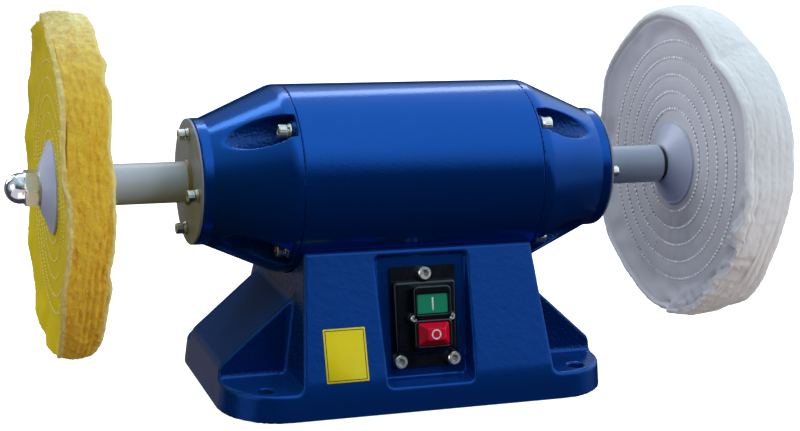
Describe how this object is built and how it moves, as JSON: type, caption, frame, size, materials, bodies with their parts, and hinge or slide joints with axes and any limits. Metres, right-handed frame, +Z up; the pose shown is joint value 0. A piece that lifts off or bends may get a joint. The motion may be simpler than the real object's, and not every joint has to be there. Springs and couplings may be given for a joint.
{
  "type": "bench polishing machine",
  "caption": "Bench polishing machine: a motor on a cast pedestal turns one through spindle with a cloth wheel clamped between flanges at each end, started and stopped by push buttons.",
  "frame": {"origin": "on the bench under the middle of the motor", "axes": "+X along the spindle towards the white wheel, -Y towards the operator, +Z up"},
  "size_m": [0.586, 0.25, 0.2825],
  "materials": {
    "blue_enamel": "glossy enamel over a cast surface",
    "grey_enamel": "satin grey enamel",
    "zinc_steel": "zinc plated",
    "bright_nut": "nickel plated, polished",
    "machined_steel": "ground and turned",
    "cast_aluminium": "plain",
    "copper_wire": "varnished",
    "black_rubber": "matt",
    "black_sheet": "satin black",
    "black_plastic": "moulded",
    "green_button": "moulded",
    "red_button": "moulded",
    "yellow_cloth": "treated cotton, sewn in rings",
    "white_cloth": "soft cotton, sewn in rings"
  },
  "bodies": {
    "frame": {"base_casting": "blue_enamel", "bottom_plate": "zinc_steel", "bottom_plate_screws": "zinc_steel", "bracket_screws": "zinc_steel", "cable_gland": "black_plastic", "capacitor_clamp": "zinc_steel", "clamp_screws": "zinc_steel", "gland_locknut": "black_plastic", "gland_nut": "black_plastic", "gland_seal": "black_rubber", "left_bearing_outer_race": "machined_steel", "left_bearing_plate": "grey_enamel", "left_end_bell": "blue_enamel", "left_plate_screws": "zinc_steel", "left_shaft_tube": "grey_enamel", "left_tie_screws": "zinc_steel", "motor_shell": "blue_enamel", "plate_spring_washers": "zinc_steel", "plate_washers": "zinc_steel", "right_bearing_outer_race": "machined_steel", "right_bearing_plate": "grey_enamel", "right_end_bell": "blue_enamel", "right_plate_screws": "zinc_steel", "right_shaft_tube": "grey_enamel", "right_tie_screws": "zinc_steel", "run_capacitor": "cast_aluminium", "saddle_bolts": "zinc_steel", "start_button_spring": "zinc_steel", "stator_core": "machined_steel", "stator_windings": "copper_wire", "stop_button_spring": "zinc_steel", "switch_bezel": "black_plastic", "switch_body": "black_plastic", "switch_bracket": "black_sheet", "switch_screws": "zinc_steel", "terminal_block": "black_plastic", "tie_spring_washers": "zinc_steel", "tie_washers": "zinc_steel", "wave_washer": "zinc_steel"},
    "spindle": {"spindle_shaft": "machined_steel", "rotor_core": "machined_steel", "rotor_end_rings": "cast_aluminium", "left_bearing_inner_race": "machined_steel", "right_bearing_inner_race": "machined_steel", "dust_seals": "black_rubber", "left_inner_flange": "grey_enamel", "right_inner_flange": "grey_enamel", "left_outer_flange": "grey_enamel", "right_outer_flange": "grey_enamel", "nut_washers": "zinc_steel", "left_dome_nut": "bright_nut", "right_dome_nut": "bright_nut", "yellow_wheel": "yellow_cloth", "white_wheel": "white_cloth"},
    "left_ball_set": {"left_bearing_balls": "machined_steel"},
    "right_ball_set": {"right_bearing_balls": "machined_steel"},
    "start_button": {"start_button": "green_button"},
    "stop_button": {"stop_button": "red_button"}
  },
  "joints": [
    {"name": "spindle_spin", "type": "hinge", "parent": "frame", "child": "spindle", "pos_m": [0, 0, 0.1575], "axis": [1, 0, 0], "continuous": true},
    {"name": "left_ball_set_roll", "type": "hinge", "parent": "frame", "child": "left_ball_set", "pos_m": [0, 0, 0.1575], "axis": [1, 0, 0], "continuous": true},
    {"name": "right_ball_set_roll", "type": "hinge", "parent": "frame", "child": "right_ball_set", "pos_m": [0, 0, 0.1575], "axis": [1, 0, 0], "continuous": true},
    {"name": "start_button_press", "type": "slide", "parent": "frame", "child": "start_button", "axis": [0, 0.9763, -0.2164], "range_m": [0, 0.0025], "stiffness_N_per_m": 400, "deforming": ["start_button_spring"]},
    {"name": "stop_button_press", "type": "slide", "parent": "frame", "child": "stop_button", "axis": [0, 0.9763, -0.2164], "range_m": [0, 0.003], "stiffness_N_per_m": 400, "deforming": ["stop_button_spring"]}
  ],
  "couplings": [
    {"joint": "left_ball_set_roll", "follows": "spindle_spin", "ratio": 0.38209},
    {"joint": "right_ball_set_roll", "follows": "spindle_spin", "ratio": 0.38209}
  ]
}
